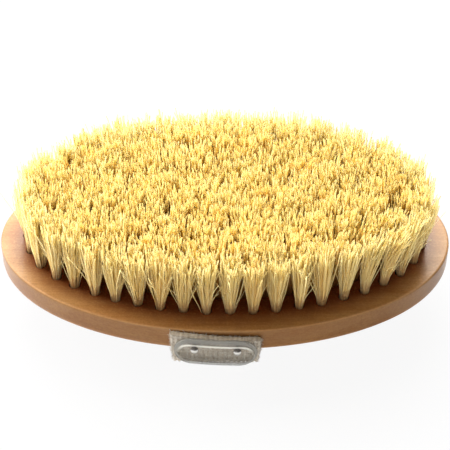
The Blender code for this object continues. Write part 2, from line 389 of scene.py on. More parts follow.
class Nodes(NodeTree):
    """A short way to write a material's nodes."""

    def __init__(self, name):
        self.material = bpy.data.materials.new(name)
        self.material.use_nodes = True
        super().__init__(self.material.node_tree)
        self.shader = self.tree.nodes["Principled BSDF"]

    def place(self, scale):
        """The piece's own coordinates in metres, times a scale for each axis."""
        coordinates = self.node("ShaderNodeTexCoord").outputs["Object"]
        return self.node("ShaderNodeMapping", {"Vector": coordinates, "Scale": scale}).outputs[0]

    def attribute(self, name):
        """A number stored on the points."""
        return self.node("ShaderNodeAttribute", attribute_name=name).outputs["Fac"]

    def noise(self, scale, detail=3.0, rough=0.55, distortion=0.0):
        """Noise from 0 to 1, with a scale for each axis."""
        inputs = {"Vector": self.place(scale), "Scale": 1.0, "Detail": detail}
        inputs |= {"Roughness": rough, "Distortion": distortion}
        return self.node("ShaderNodeTexNoise", inputs).outputs[0]

    def ramp(self, value, low, high, start=0.0, end=1.0):
        """A value moved from the range low..high to start..end, and held inside it."""
        inputs = {"Value": value, "From Min": low, "From Max": high}
        inputs |= {"To Min": start, "To Max": end}
        return self.node("ShaderNodeMapRange", inputs).outputs[0]

    def mix(self, share, first, second, blend="MIX"):
        """A mix of two colours."""
        inputs = {0: share}
        for socket, colour in ((6, first), (7, second)):
            joined = isinstance(colour, bpy.types.NodeSocket)
            inputs[socket] = colour if joined else (*colour, 1.0)
        made = self.node("ShaderNodeMix", inputs, data_type="RGBA", blend_type=blend)
        return made.outputs[2]

    def tint(self, colour, other, value, low, high, start=0.0, end=1.0):
        """A colour that turns into another as a value goes from low to high."""
        return self.mix(self.ramp(value, low, high, start, end), colour, other)

    def times(self, colour, other):
        """Two colours multiplied."""
        return self.mix(1.0, colour, other, blend="MULTIPLY")

    def bump(self, height, distance, strength=1.0):
        """A bump of a real height in metres."""
        inputs = {"Height": height, "Distance": distance, "Strength": strength}
        self.wire(Normal=self.node("ShaderNodeBump", inputs).outputs[0])

    def wire(self, **sockets):
        """Set the shader's inputs to values or other sockets; _ stands for a space."""
        for key, value in sockets.items():
            self.feed(self.shader.inputs[key.replace("_", " ")], value)
        return self.material

    def shared(self, share, other):
        """The material, with another shader mixed in by a share."""
        inputs = {0: share, 1: self.shader.outputs[0], 2: other}
        mixed = self.node("ShaderNodeMixShader", inputs).outputs[0]
        self.feed(self.tree.nodes["Material Output"].inputs["Surface"], mixed)
        return self.material


def lacquered_wood(look):
    """Long soft bands and fine streaks along X, short dark flecks, a warmer arris that is partly
    wear and partly painted highlight, and painted shade on the drilled middle, the upright sides
    and in the holes.
    """
    m = Nodes("lacquered_wood")
    bands = m.noise((9, 150, 150), detail=4.0, distortion=0.6)
    streaks = m.noise((55, 1500, 1500))
    flecks = m.noise((420, 2300, 2300), detail=2.0)
    tone = m.plus(m.ramp(bands, 0.3, 0.7, 0.0, 0.7), m.ramp(streaks, 0.3, 0.7, -0.12, 0.3))
    colour = m.mix(tone, look.dark_wood, look.light_wood)
    colour = m.tint(colour, look.pore, flecks, 0.60, 0.74, 0.0, 0.55)
    # Painted shade: the drilled middle and a band up to 7.5 mm past the outer row turn dark
    # red-brown, where the tufts shade the face and throw their amber light on it.
    row = row_slice(1) - ROW_STEP / 2
    reach = m.node("ShaderNodeVectorMath", {0: m.place((1, 1, 0))}, operation="LENGTH").outputs[1]
    inner = m.place((1 / row[0], 1 / row[1], 0))
    oval = m.node("ShaderNodeVectorMath", {0: inner}, operation="LENGTH").outputs[1]
    past = m.maths("SUBTRACT", reach, m.maths("DIVIDE", reach, oval))
    past = m.plus(past, m.ramp(bands, 0.2, 0.8, -0.6 * MM, 0.6 * MM))
    colour = m.tint(colour, look.stain_and_painted_shade, past, 0, 7.5 * MM, 1.0, 0.0)
    speck = m.noise((1700, 1700, 1700), rough=0.7)
    colour = m.tint(colour, PALE_SPECK, speck, 0.5, 0.75, 0.0, 0.4)
    colour = m.tint(colour, look.pore, speck, 0.5, 0.25, 0.0, 0.4)
    # Lighter arris line: partly wear, partly a painted highlight where the round edge catches the
    # light.
    colour = m.mix(m.by(m.attribute("wear"), 0.2), colour, WORN_EDGE_AND_HIGHLIGHT)
    # Painted shade: the upright sides are darkened, as they get less light than the face.
    colour = m.mix(m.attribute("side"), colour, m.times(colour, SIDE_PAINTED_SHADE))
    # Painted shade in the holes.
    colour = m.mix(m.attribute("hole"), colour, HOLE_PAINTED_SHADE)
    rough = m.ramp(streaks, 0.2, 0.8, look.roughness - 0.04, look.roughness + 0.08)
    height = m.plus(m.by(streaks, 0.6), m.by(flecks, -0.5))
    m.bump(height, 0.00003)
    return m.wire(
        Base_Color=colour,
        Roughness=rough,
        Specular_Tint=WARM_GLARE,
        Coat_Weight=0.08,
        Coat_Roughness=0.2,
        IOR=1.5,
    )


def tuft_fibre(look):
    """Dull in the hole, cream half way, golden at the tip, and painted amber and dark shade
    between the inner rows.

    Each fibre is a little unlike the others, the outer row is painted lighter than the shaded
    inner rows, and a fibre's cut end is painted a shade darker than its side, against the light it
    catches from above.
    """
    m = Nodes("tuft_fibre")
    along = m.attribute("along")
    tone = m.attribute("tone")
    colour = m.tint(look.root_colour, look.middle_colour, along, 0.0, 0.24)
    colour = m.tint(colour, look.tip_colour, along, 0.6, 0.97)
    colour = m.tint(colour, look.pale_colour, tone, 0.5, 1.0, 0.0, 0.5)
    colour = m.tint(colour, m.times(colour, BROWNER), tone, 0.0, 0.4, 0.6, 0.0)
    # Painted shade: the inner rows turn amber higher up and darker towards their roots, as light
    # bounced through the fibres and shade fill the gaps.
    inner = m.attribute("inner")
    amber_shade, deep_shade = m.times(colour, AMBER_PAINTED_SHADE), m.times(colour, DEEP_PAINTED_SHADE)
    amber_shade_share = m.by(inner, m.ramp(along, 0.6, 0.95, 0.65, 0.0))
    depth = m.by(inner, m.ramp(along, 0.12, 0.5, 0.75, 0.0))
    # Painted light: the outer row is mixed towards the pale colour, as the row that stands in the
    # light.
    outer_lit = m.tint(colour, look.pale_colour, inner, 0.0, 1.0, 0.3, 0.0)
    colour = m.mix(depth, m.mix(amber_shade_share, outer_lit, amber_shade), deep_shade)
    # Painted shade: the cut ends are darkened against the light they catch from above.
    colour = m.tint(colour, m.times(colour, CUT_END_PAINTED_SHADE), along, 0.965, 0.99)
    speckle = m.noise((2600, 2600, 700), detail=2.0)
    colour = m.tint(colour, look.pale_colour, speckle, 0.35, 0.75, 0.0, 0.12)
    m.bump(speckle, 0.00002, 0.6)
    rough = m.ramp(speckle, 0.3, 0.7, 0.42, 0.56)
    m.wire(Base_Color=colour, Roughness=rough, IOR=1.35)
    through = m.node("ShaderNodeBsdfTranslucent", {"Color": colour}).outputs[0]
    return m.shared(look.through, through)


def canvas(look):
    """A coarse plain weave on the strap's own map, with uneven threads."""
    m = Nodes("canvas_webbing")
    cloth = m.node("ShaderNodeUVMap", uv_map="cloth").outputs[0]
    parts = m.node("ShaderNodeSeparateXYZ", {0: cloth})
    wobble = m.ramp(m.noise((700, 700, 700), detail=2.0), 0.2, 0.8, -1.3, 1.3)
    warp, weft = (
        m.maths("SINE", m.plus(m.by(part, 2 * math.pi), wobble))
        for part in parts.outputs[:2]
    )
    weave = m.ramp(m.by(warp, weft), -0.8, 0.8)
    fuzz = m.noise((2600, 2600, 2600), detail=4.0, rough=0.7)
    blotch = m.noise((260, 260, 260))
    share = m.plus(m.by(weave, 0.35), m.ramp(fuzz, 0.3, 0.7, 0.0, 0.45))
    share = m.plus(share, m.ramp(warp, -0.9, 0.5, 0.0, 0.25))
    colour = m.mix(share, look.shade, look.thread)
    colour = m.tint(colour, CANVAS_BLOTCH, blotch, 0.4, 0.65, 0.0, 0.5)
    height = m.plus(weave, m.by(fuzz, 0.8))
    m.bump(height, 0.00018)
    return m.wire(Base_Color=colour, Roughness=0.93, Sheen_Weight=0.25, Sheen_Roughness=0.5)


def clear_plastic(look):
    """Clear moulded plastic, cloudy and bluish in its rim, that shows the webbing behind it, with
    a painted highlight along the top of the panel's bead and painted shade along its bottom.
    """
    m = Nodes("clear_plastic")
    cloud = m.noise((700, 700, 700))
    scratch = m.noise((500, 500, 5200), detail=2.0)
    body = m.attribute("body")
    colour = m.mix(body, look.panel_tint, look.plastic)
    colour = m.tint(colour, PLASTIC_CLOUD, cloud, 0.3, 0.7, 0.0, 0.25)
    m.bump(m.plus(cloud, scratch), 0.00003, 0.5)
    rough = m.ramp(scratch, 0.3, 0.8, 0.16, 0.3)
    alpha = m.plus(m.by(body, 0.30), m.ramp(cloud, 0.2, 0.8, 0.18, 0.28))
    # Painted highlight on the bead's top and painted shade on its bottom, each also more opaque.
    bead = m.attribute("bead")
    lit, shaded = m.ramp(bead, 0.0, 0.8), m.ramp(bead, -0.2, -0.95)
    colour = m.mix(lit, colour, BEAD_PAINTED_HIGHLIGHT)
    colour = m.mix(shaded, colour, BEAD_PAINTED_SHADE)
    edge = m.plus(m.by(lit, 0.75), m.by(shaded, 0.45))
    alpha = m.plus(alpha, edge)
    return m.wire(Base_Color=colour, Roughness=rough, IOR=1.5, Alpha=alpha)


def bright_steel(look):
    """Drawn steel with fine scratches, faint stains, and a painted dark reflection on the upper
    part of each head.
    """
    m = Nodes("bright_steel")
    scratch = m.noise((2500, 2500, 9000))
    # Faint stains in blotches.
    stain_and_painted_shade = m.noise((900, 900, 900))
    colour = m.tint(look.steel, STEEL_STAIN, stain_and_painted_shade, 0.5, 0.8, 0.0, 0.5)
    # Painted dark reflection over the upper part of each nail's head.
    colour = m.mix(m.attribute("tarnish"), colour, STEEL_DARK_REFLECTION)
    m.bump(scratch, 0.00001, 0.4)
    rough = m.ramp(scratch, 0.3, 0.8, 0.12, 0.28)
    return m.wire(Base_Color=colour, Metallic=1.0, Roughness=rough)


# Tufts

PLACE_ERROR, TIP_ERROR, LEAN_ERROR, SPREAD_ERROR = 0.12 * MM, 0.6 * MM, 0.42 * MM, 0.11
CLUMPS, CLUMP_PULL, CLUMP_LIFT = 12, 0.55 * MM, 0.6 * MM
OUTER_FIBRES, OUTER_FINE, OUTER_WILD = 1.3, 0.84, 2.4
KNOCKED_SHARE, KNOCKED_LEAN = 0.03, 1.2 * MM
TIP_RISE, TUFT_LIFT = 0.55 * MM, 0.35 * MM
BOW, CURL, WANDER = 0.25, 0.38 * MM, 0.13 * MM
BENT_TIP, STRAY_TIP, STRAY_WIDTH = 1.9 * MM, 1.6 * MM, 0.62
SHORT_FROM, SHORT_TO = 0.5, 0.56
FIBRE_SHARES = np.array([0.0, 0.16, 0.36, 0.57, 0.79, 0.984, 1.0])
FIBRE_RADII = np.array([0.72, 0.86, 1.03, 1.12, 1.08, 0.92, 0.6])


def tuft_places(rng, half_length, half_width, pitch, phase):
    """Tuft centres at even steps round an oval, the first one phase past its front's middle."""
    turn = np.linspace(0, 2 * np.pi, 1600) - np.pi / 2
    line = np.column_stack([half_length * np.cos(turn), half_width * np.sin(turn)])
    run = run_along(line)
    count = round(run[-1] / pitch)
    stops = (phase + np.arange(count) * run[-1] / count) % run[-1]
    places = at_stops(line, run, stops)
    return places + rng.normal(0, PLACE_ERROR, places.shape)


def tuft_layout(look):
    """The tufts of each row and half: a dict of node name to centres, in the packed rows."""
    rng = np.random.default_rng(SEED)
    layout = {}
    for row in range(1, ROWS + 1):
        half = row_slice(row) - ROW_STEP / 2
        phase = look.phase + (row - 1) * look.pitch / 2
        places = tuft_places(rng, *half, look.pitch, phase)
        for side_name, side in SIDES.items():
            layout[f"bristle_row_{row}_{side_name}"] = places[np.sign(places[:, 1]) == side]
    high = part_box("bristle_row_middle")[1]
    reach = high.x - 1.42 * ROW_STEP
    count = round(2 * reach / look.pitch) + 1
    middle = np.column_stack([np.linspace(-reach, reach, count), np.zeros(count)])
    layout["bristle_row_middle"] = middle + rng.normal(0, PLACE_ERROR, middle.shape)
    return layout


def smooth_step(value, start, end):
    """0 before start, 1 after end, and 3 s^2 - 2 s^3 between them."""
    share = np.clip((value - start) / (end - start), 0, 1)
    return share * share * (3 - 2 * share)


def combed(centres, look):
    """How far each tuft's tips lean: in at the two ends, and to the right at the front right."""
    x, y = centres.T
    lean = np.zeros_like(centres)
    lean[:, 0] = -1.3 * MM * (x / HALF_LENGTH) ** 3
    right = smooth_step(x, 26 * MM, 48 * MM) * smooth_step(-y, 4 * MM, 16 * MM)
    lean[:, 0] += look.swept * right
    return lean, right


def tuft_lines(rng, centres, look, outer):
    """Centre lines, thicknesses and tones of the fibres of many tufts.

    A fibre starts at a place in a sunflower pattern over the hole and ends at the same
    place in a wider pattern. In between its offset is start + (end - start) * (s + b * s *
    (s - 1)) + 4 c s (1 - s) for a height s from 0 to 1, where b is how much that fibre bows
    and c is its curl. Strays are thinner, shorter and swing further out. The outer row has
    more and thinner fibres, and more strays.
    """
    tufts, fibres = len(centres), round(look.fibres * (OUTER_FIBRES if outer else 1.0))
    fine, wild = (OUTER_FINE, OUTER_WILD) if outer else (1.0, 1.0)
    size = (tufts, fibres)
    number = np.arange(fibres)
    spin = rng.uniform(0, 2 * np.pi, (tufts, 1)) + number * np.pi * (3 - math.sqrt(5))
    reach = np.sqrt((number + 0.5) / fibres)
    way = np.stack([np.cos(spin), np.sin(spin)], -1)
    root = look.root_radius * reach[:, None] * way
    spread = look.tip_radius * (1 + rng.normal(0, SPREAD_ERROR, (tufts, 1, 1)))
    tip = spread * reach[:, None] * way + rng.normal(0, TIP_ERROR, way.shape)
    clump = (spin % (2 * np.pi) // (np.pi / 3)).astype(int) + 6 * (reach > 0.6)
    pull = np.take_along_axis(rng.normal(0, CLUMP_PULL, (tufts, CLUMPS, 2)), clump[..., None], 1)
    lift = np.take_along_axis(rng.normal(0, CLUMP_LIFT, (tufts, CLUMPS)), clump, 1)
    tip = tip + pull

    lean, right = combed(centres, look)
    lean = lean + rng.normal(0, LEAN_ERROR, centres.shape)
    knocked = rng.random(tufts) < KNOCKED_SHARE
    lean[knocked] += rng.normal(0, KNOCKED_LEAN, (int(knocked.sum()), 2))
    tip = tip + lean[:, None]
    bow = rng.normal(0.0, BOW, size) + 0.7 * right[:, None]
    curl = rng.normal(0, CURL, way.shape)
    top = TIP_Z - FACE_Z - np.abs(rng.normal(0, look.ragged, size)) + TIP_RISE
    top = top + lift + rng.normal(0, TUFT_LIFT, (tufts, 1))
    width = fine * look.fibre_width * rng.uniform(0.72, 1.15, size)

    chance = rng.random(size)
    bent = chance < look.stray
    tip[bent] += rng.normal(0, BENT_TIP, (int(bent.sum()), 2))
    bow[bent] += rng.uniform(0.2, 0.9, int(bent.sum()))
    short = (chance > SHORT_FROM) & (chance < SHORT_TO)
    top[short] -= rng.uniform(1, 4.5, int(short.sum())) * MM
    stray = (chance > 1 - wild * look.stray / 2) & (reach > 0.5)
    many = int(stray.sum())
    rise = rng.uniform(0.45, 0.95, (many, 1))
    swing = way[stray] * rng.uniform(1, 6, (many, 1)) * MM + rng.normal(0, STRAY_TIP, (many, 2))
    tip[stray] += swing * rise**2
    top[stray] = rise[:, 0] * (TIP_Z - FACE_Z)
    bow[stray] = rng.uniform(0.2, 1.0, many)
    width[stray] *= STRAY_WIDTH

    share = FIBRE_SHARES
    level = top[..., None] * share
    level[..., 0] = -look.sink
    eased = share + bow[..., None] * share * (share - 1)
    wander = rng.normal(0, WANDER, (*size, len(share), 2)) * share[:, None]
    wander[..., -1, :] = wander[..., -2, :]
    arch = 4 * curl[:, :, None] * (share * (1 - share))[:, None]
    flat = root[:, :, None] + (tip - root)[:, :, None] * eased[..., None] + wander + arch
    flat = flat + centres[:, None, None]
    lines = np.concatenate([flat, (FACE_Z + level)[..., None]], -1).reshape(-1, len(share), 3)
    radii = width.reshape(-1, 1) / 2 * FIBRE_RADII
    tone = 0.35 * reach + 0.2 + rng.normal(0, 0.15, size) + rng.normal(0, 0.08, (tufts, 1))
    return lines, radii, np.clip(tone, 0, 1).reshape(-1)


class BRUSH_OT_tufts(Operator):
    """Grow the fibres of every row of tufts"""

    bl_idname = "brush.tufts"
    bl_label = "Tufts"

    def execute(self, context):
        look = context.scene.brush_tufts
        material = tuft_fibre(look)
        sides = 4
        for number, (name, centres) in enumerate(tuft_layout(look).items()):
            rng = np.random.default_rng(SEED + 11 * number)
            outer = name.startswith("bristle_row_1")
            lines, radii, tone = tuft_lines(rng, centres, look, outer)
            points, faces = tubes(lines, radii, sides)
            piece = mesh_object(name.replace("bristle_row", "tufts"), points, faces)
            point_attribute(piece, "along", np.tile(np.repeat(FIBRE_SHARES, sides), len(lines)))
            point_attribute(piece, "tone", np.repeat(tone, len(FIBRE_SHARES) * sides))
            # inner marks the rows that get painted amber and dark shade.
            point_attribute(piece, "inner", np.full(len(points), 0.0 if outer else 1.0))
            piece.data.materials.append(material)
            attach(piece, BODY)
            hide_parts(name)
        return {"FINISHED"}


# Wooden block

OVAL_STEPS, HOLE_STEPS = 240, 18
HOLE_CONE = 0.5 * MM
# Share of the arris colour round the edge: partly wear, partly painted highlight.
ARRIS_WEAR_AND_HIGHLIGHT = [0.35, 0.6, 0.85, 1.0, 0.85, 0.5, 0.25]


def oval_rings(insets, levels, steps):
    """Rings of the oval, each drawn in by its inset: x = (a - i) cos t, y = (b - i) sin t."""
    turn = np.linspace(0, 2 * np.pi, steps, endpoint=False)
    insets = np.asarray(insets)[:, None]
    x = (HALF_LENGTH - insets) * np.cos(turn)
    y = (HALF_WIDTH - insets) * np.sin(turn)
    z = np.broadcast_to(np.asarray(levels)[:, None], x.shape)
    return np.stack([x, y, z], -1)


def block_profile(look):
    """(inset, level, wear) from the face's border over the arris and down to the back's edge."""
    arris, back = look.arris_round, look.back_round
    bottom = BLOCK_LOW.z + look.crown
    turn = np.linspace(0, np.pi / 2, 7)
    falling, rising = 1 - np.sin(turn), 1 - np.cos(turn)
    side = np.linspace(FACE_Z - arris, bottom + back, 5)[1:-1]
    inset = [[3.2 * arris, 1.4 * arris], arris * falling, 0 * side, back * rising]
    level = [[FACE_Z, FACE_Z], FACE_Z - arris * rising, side, bottom + back * falling]
    wear = [[0.0, 0.1], ARRIS_WEAR_AND_HIGHLIGHT, 0 * side, 0 * turn]
    return tuple(np.concatenate(parts) for parts in (inset, level, wear))


def drilled_face(border, centres, radius):
    """The flat face between its border and round holes.

    Returns the holes' rims as (hole, step, 2) and triangles of point numbers, where the
    border's points come first and the rims' points after them.
    """
    steps = HOLE_STEPS
    turn = np.linspace(0, 2 * np.pi, steps, endpoint=False)
    circle = np.column_stack([np.cos(turn), np.sin(turn)])
    rims = centres[:, None] + radius * circle
    flat = np.concatenate([border, rims.reshape(-1, 2)])
    loops = [list(range(len(border)))]
    loops += [list(range(k, k + steps)) for k in range(len(border), len(flat), steps)]
    found = delaunay_2d_cdt([tuple(p) for p in flat], [], loops, 1, 1e-8)
    source = np.array([origin[0] for origin in found[3]])
    outside = [max(origins) == 0 for origins in found[5]]
    triangles = source[np.array(found[2])[outside]]
    return rims, triangles


class BRUSH_OT_block(Operator):
    """Make the wooden block with its drilled face, rounded edges and crowned back"""

    bl_idname = "brush.block"
    bl_label = "Wooden block"

    def execute(self, context):
        look = context.scene.brush_block
        tuft_look = context.scene.brush_tufts
        centres = np.concatenate(list(tuft_layout(tuft_look).values()))
        steps = OVAL_STEPS
        inset, level, wear = block_profile(look)
        shell = oval_rings(inset, level, steps)
        edge = shell[-1]
        shares = np.cos(np.linspace(0, np.pi / 2, 14))[1:-1, None, None]
        back = edge * shares
        back[..., 2] = BLOCK_LOW.z + look.crown * shares[..., 0] ** 2
        rings = np.concatenate([shell, back])
        wall = grid_faces(len(rings), steps)
        pole = [[0.0, 0.0, BLOCK_LOW.z]]

        rim_radius = look.hole_radius + look.hole_chamfer
        rims, face = drilled_face(shell[0, :, :2], centres, rim_radius)
        holes, hole_steps = rims.shape[:2]
        arms = rims - centres[:, None]
        radii = np.array([rim_radius, look.hole_radius, look.hole_radius, look.hole_radius * 0.5])
        floor_depth = look.hole_depth + HOLE_CONE
        depths = np.array([0.0, look.hole_chamfer, look.hole_depth, floor_depth])
        wells = centres[:, None, None] + arms[:, None] * (radii / rim_radius)[:, None, None]
        wells = np.concatenate(
            [wells, np.broadcast_to((FACE_Z - depths)[:, None, None], (*wells.shape[:3], 1))], -1
        )
        shell_count = rings.shape[0] * steps
        points = np.concatenate([rings.reshape(-1, 3), pole, wells.reshape(-1, 3)])
        well_start = shell_count + 1
        per_well = len(radii) * hole_steps
        one_well = grid_faces(len(radii), hole_steps)
        well_offsets = well_start + np.arange(holes)[:, None, None] * per_well
        well_faces = (one_well[None] + well_offsets).reshape(-1, 4)

        rim_number = np.arange(holes)[:, None] * per_well + np.arange(hole_steps) + well_start
        lookup = np.concatenate([np.arange(steps), rim_number.ravel()])
        face = lookup[face]
        last = rim_number + (len(radii) - 1) * hole_steps
        centre_points = np.column_stack([centres, np.full(holes, FACE_Z - floor_depth)])
        first_centre = len(points)
        points = np.concatenate([points, centre_points])
        middle = np.broadcast_to((first_centre + np.arange(holes))[:, None], last.shape)
        floor_faces = np.stack([last, np.roll(last, -1, axis=1), middle], -1).reshape(-1, 3)
        pole_faces = fan(np.arange(shell_count - steps, shell_count), shell_count)
        piece = mesh_object(
            "wooden_block",
            points,
            np.concatenate([wall[:, ::-1], well_faces]),
            np.concatenate([face, pole_faces[:, ::-1], floor_faces]),
            sharp=35,
        )
        rest = np.zeros(len(points) - len(wear) * steps)
        # side marks the upright sides for their painted shade.
        side = smooth_step(inset, 0.3 * MM, 0.0)
        for name, values in (("wear", wear), ("side", side)):
            point_attribute(piece, name, np.append(np.repeat(values, steps), rest))
        # Painted shade in the holes: darker down the walls and full on the floors.
        dark = np.zeros(len(points))
        dark[first_centre:] = 1.0
        well_shade = np.tile(np.repeat([0.25, 0.8, 1.0, 1.0], hole_steps), holes)
        dark[well_start:first_centre] = well_shade
        point_attribute(piece, "hole", dark)
        piece.data.materials.append(lacquered_wood(look))
        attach(piece, BODY)
        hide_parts("wooden_body")
        return {"FINISHED"}


# Strap

STRAP_STEP = 0.45 * MM
EDGE_LIFT = 0.6 * MM
SECTION_POINTS, EDGE_ROOM, FACE_ROOM = 92, 0.1 * MM, 0.12 * MM
UNEVEN, SWAY, RAGGED_CUT, CUT_REACH = 0.05 * MM, 0.25 * MM, 0.22 * MM, 7 * MM
WEAVE_PAIR = (1.45 * MM, 1.5 * MM)
END_THREADS, EDGE_THREADS = 170, 260
THREAD_RADIUS = 0.075 * MM


def arc(centre, radius, start, end, steps=14):
    """Points of an arc in the (y, z) plane."""
    turn = np.linspace(start, end, steps)
    return np.column_stack([centre[0] + radius * np.cos(turn), centre[1] + radius * np.sin(turn)])


def set_back(x):
    """How far the wood's curved side lies behind its middle: b - b * sqrt(1 - (x / a)^2)."""
    return HALF_WIDTH * (1 - np.sqrt(1 - np.clip(np.asarray(x) / HALF_LENGTH, -1, 1) ** 2))


def strap_route(look):
    """Centre line of the whole strap in (y, z), at even steps, from the front's cut end.

    Down the side, round the wood's back edge, in at the slant, flat along the floor, and
    the same again on the other side.
    """
    half = look.thickness / 2
    y_side = STRAP_LOW.y + half
    level = 1.5 * np.pi - look.slant
    slant = np.array([math.cos(look.slant), -math.sin(look.slant)])
    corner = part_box("strap_band")[1].z - half * math.cos(look.slant)
    edge_centre_z = corner + EDGE_LIFT - look.edge_bend * math.sin(level)
    edge = arc((y_side + look.edge_bend, edge_centre_z), look.edge_bend, np.pi, level)
    floor_z = half + look.floor_bend
    drop = edge[-1, 1] - (floor_z + look.floor_bend * math.sin(level))
    foot = edge[-1] + slant * drop / math.sin(look.slant)
    floor_centre = (foot[0] - look.floor_bend * math.cos(level), floor_z)
    floor = arc(floor_centre, look.floor_bend, level, 1.5 * np.pi)
    line = np.concatenate([[[y_side, STRAP_HIGH.z]], edge, floor])
    line = np.concatenate([line, line[::-1] * (-1, 1)])
    run = run_along(line)
    stops = np.linspace(0, run[-1], round(run[-1] / STRAP_STEP) + 1)
    return at_stops(line, run, stops), stops


def strap_section(width, thickness, look):
    """The closed cross-section as (across, out) pairs: flat sides with round edges and ribs.

    out = (thickness / 2) * (edge rounding) + rib height * cos(2 pi across / rib pitch).
    """
    across = np.linspace(-width / 2, width / 2, SECTION_POINTS)
    from_edge = np.minimum(across + width / 2, width / 2 - across) / (thickness / 2)
    rounding = np.sqrt(1 - (1 - np.clip(from_edge, 0, 1)) ** 2)
    rib = look.rib_height * (np.cos(2 * np.pi * across / look.rib_pitch) - 0.6) * rounding
    out = rounding * thickness / 2 + np.minimum(rib, 0.3 * look.rib_height)
    outer, inner = np.column_stack([across, out]), np.column_stack([across, -out])
    return np.concatenate([outer, inner[::-1][1:-1]])


def map_cloth(piece, across, along):
    """Put the weave's map on the mesh: one unit for each pair of threads."""
    layer = piece.data.uv_layers.new(name="cloth")
    corners = np.empty(len(piece.data.loops), np.int32)
    piece.data.loops.foreach_get("vertex_index", corners)
    pairs = np.column_stack([across / WEAVE_PAIR[0] + 0.25, along / WEAVE_PAIR[1]])[corners]
    layer.data.foreach_set("uv", pairs.astype(np.float32).ravel())


def loose_threads(side_name, points, across, rings, per_ring, material, look):
    """Short bent threads standing out of the cut end and the edges beside it."""
    side = SIDES[side_name]
    rng = np.random.default_rng(SEED + 200 + side)
    ring = points[:per_ring] if side < 0 else points[(rings - 1) * per_ring : rings * per_ring]
    steps = np.linspace(0, 1, 4)[:, None]

    def bent(starts, reach, aim, curl):
        return starts[:, None] + reach * (steps * aim[:, None] + steps**2 * curl)

    count = END_THREADS
    roots = ring[rng.integers(0, per_ring, count)] + rng.normal(0, 0.12 * MM, (count, 3))
    low, high = ring[:, 1].min() + 0.1 * MM, ring[:, 1].max() - 0.1 * MM
    roots[:, 1] = np.clip(roots[:, 1], low, high)
    reach = look.fray * rng.uniform(0.3, 1.0, (count, 1, 1))
    spread = rng.normal(0, 0.5, count), rng.normal(0, 0.22, count)
    aim = np.column_stack([*spread, np.ones(count)])
    curl = rng.normal(0, 0.35, (count, 1, 3)) * (1, 0.4, 0.4)
    lines = bent(roots, reach, aim, curl)
    lines[:, :, 2] -= 0.25 * MM
    lines[:, 0, 2] -= 0.2 * MM
    clear = HALF_WIDTH + 0.2 * MM - set_back(lines[:, :, 0])
    lines[:, :, 1] = side * np.maximum(side * lines[:, :, 1], clear)
    grid = points[: rings * per_ring].reshape(rings, per_ring, 3)[:: -side]
    edge = np.arange(per_ring)[np.abs(across) > across.max() - 0.3 * MM]
    many = EDGE_THREADS
    near = grid[rng.integers(2, 26, many), rng.choice(edge, many)]
    away = np.sign(near[:, :1] - STRAP_X)
    aim = np.column_stack([away, rng.normal(0, 0.3, many), rng.normal(0, 0.5, many)])
    curl = rng.normal(0, 0.4, (many, 1, 3)) * (1, 0.3, 1)
    reach = 0.55 * look.fray * rng.uniform(0.3, 1.0, (many, 1, 1))
    hairs = bent(near, reach, aim, curl)
    hairs[:, 0, 0] -= away[:, 0] * 0.2 * MM
    lines = np.concatenate([lines, hairs])
    radii = np.broadcast_to(THREAD_RADIUS * (1 - 0.4 * steps[:, 0]), lines.shape[:2])
    thread_points, faces = tubes(lines, radii, 4)
    piece = mesh_object(f"strap_threads_{side_name}", thread_points, faces)
    map_cloth(piece, thread_points[:, 0], thread_points[:, 2])
    piece.data.materials.append(material)
    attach(piece, BODY)
    return piece


class BRUSH_OT_strap(Operator):
    """Weave the strap in one length, with its crooked cut ends and loose threads"""

    bl_idname = "brush.strap"
    bl_label = "Hand strap"

    def execute(self, context):
        look = context.scene.brush_strap
        rng = np.random.default_rng(SEED + 101)
        route, stops = strap_route(look)
        width = STRAP_HIGH.x - STRAP_LOW.x
        section = strap_section(width - EDGE_ROOM, look.thickness - FACE_ROOM, look)
        way = np.gradient(route, axis=0)
        way /= np.linalg.norm(way, axis=1)[:, None]
        out = np.column_stack([way[:, 1], -way[:, 0]])
        across, lift = section.T
        along = stops[:, None] + 0 * across
        uneven = waves(rng, across / (0.5 * MM) + 0 * along, along / (0.6 * MM), count=9)
        lift = lift + UNEVEN * uneven * np.sign(lift)
        near_edge = np.abs(across / (width / 2)) ** 4
        sway = SWAY * waves(rng, along / (3 * MM), count=4) * near_edge
        y = route[:, :1] + out[:, :1] * lift
        z = route[:, 1:] + out[:, 1:] * lift
        drawn_in = 1 - look.drawn_in * (1 - smooth_step(z, 11 * MM, 20 * MM))
        x = STRAP_X + across * drawn_in + sway * np.sign(across)
        y = y - np.sign(route[:, :1]) * set_back(x) * smooth_step(z, 9 * MM, 17 * MM)
        end_distance = np.minimum(along, stops[-1] - along)
        fade = np.clip(1 - end_distance / CUT_REACH, 0, 1)
        cut = look.crooked * (across / width + 0.5)
        ragged = RAGGED_CUT * waves(rng, across / (0.7 * MM), count=6)
        z = z - fade * (cut + ragged)
        z = np.maximum(z, 0.02 * MM)
        points = np.stack([x, y, z], -1).reshape(-1, 3)
        rings, per_ring = len(route), len(across)
        ends = np.stack([points[:per_ring].mean(0), points[-per_ring:].mean(0)])
        points = np.concatenate([points, ends])
        quads, caps = closed_rings(rings, per_ring)
        piece = mesh_object("hand_strap", points, quads[:, ::-1], caps[:, ::-1], sharp=70)
        cloth = np.append(np.tile(across, rings), [0, 0]), np.append(along.ravel(), [0, 0])
        map_cloth(piece, *cloth)
        material = canvas(look)
        piece.data.materials.append(material)
        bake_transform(piece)
        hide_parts("strap_front_end", "strap_band", "strap_rear_end")
        threads = [
            loose_threads(name, points, across, rings, per_ring, material, look)
            for name in SIDES
        ]
        return {"FINISHED"}


# Plates and nails

BEAD_RISE, PANEL_SINK, BEAD_BAND = 0.1 * MM, 0.12 * MM, 0.16 * MM
SHANK_RADIUS, SHANK_TAPER = 0.6 * MM, 1.8 * MM
NAIL_LIFT = 0.12 * MM


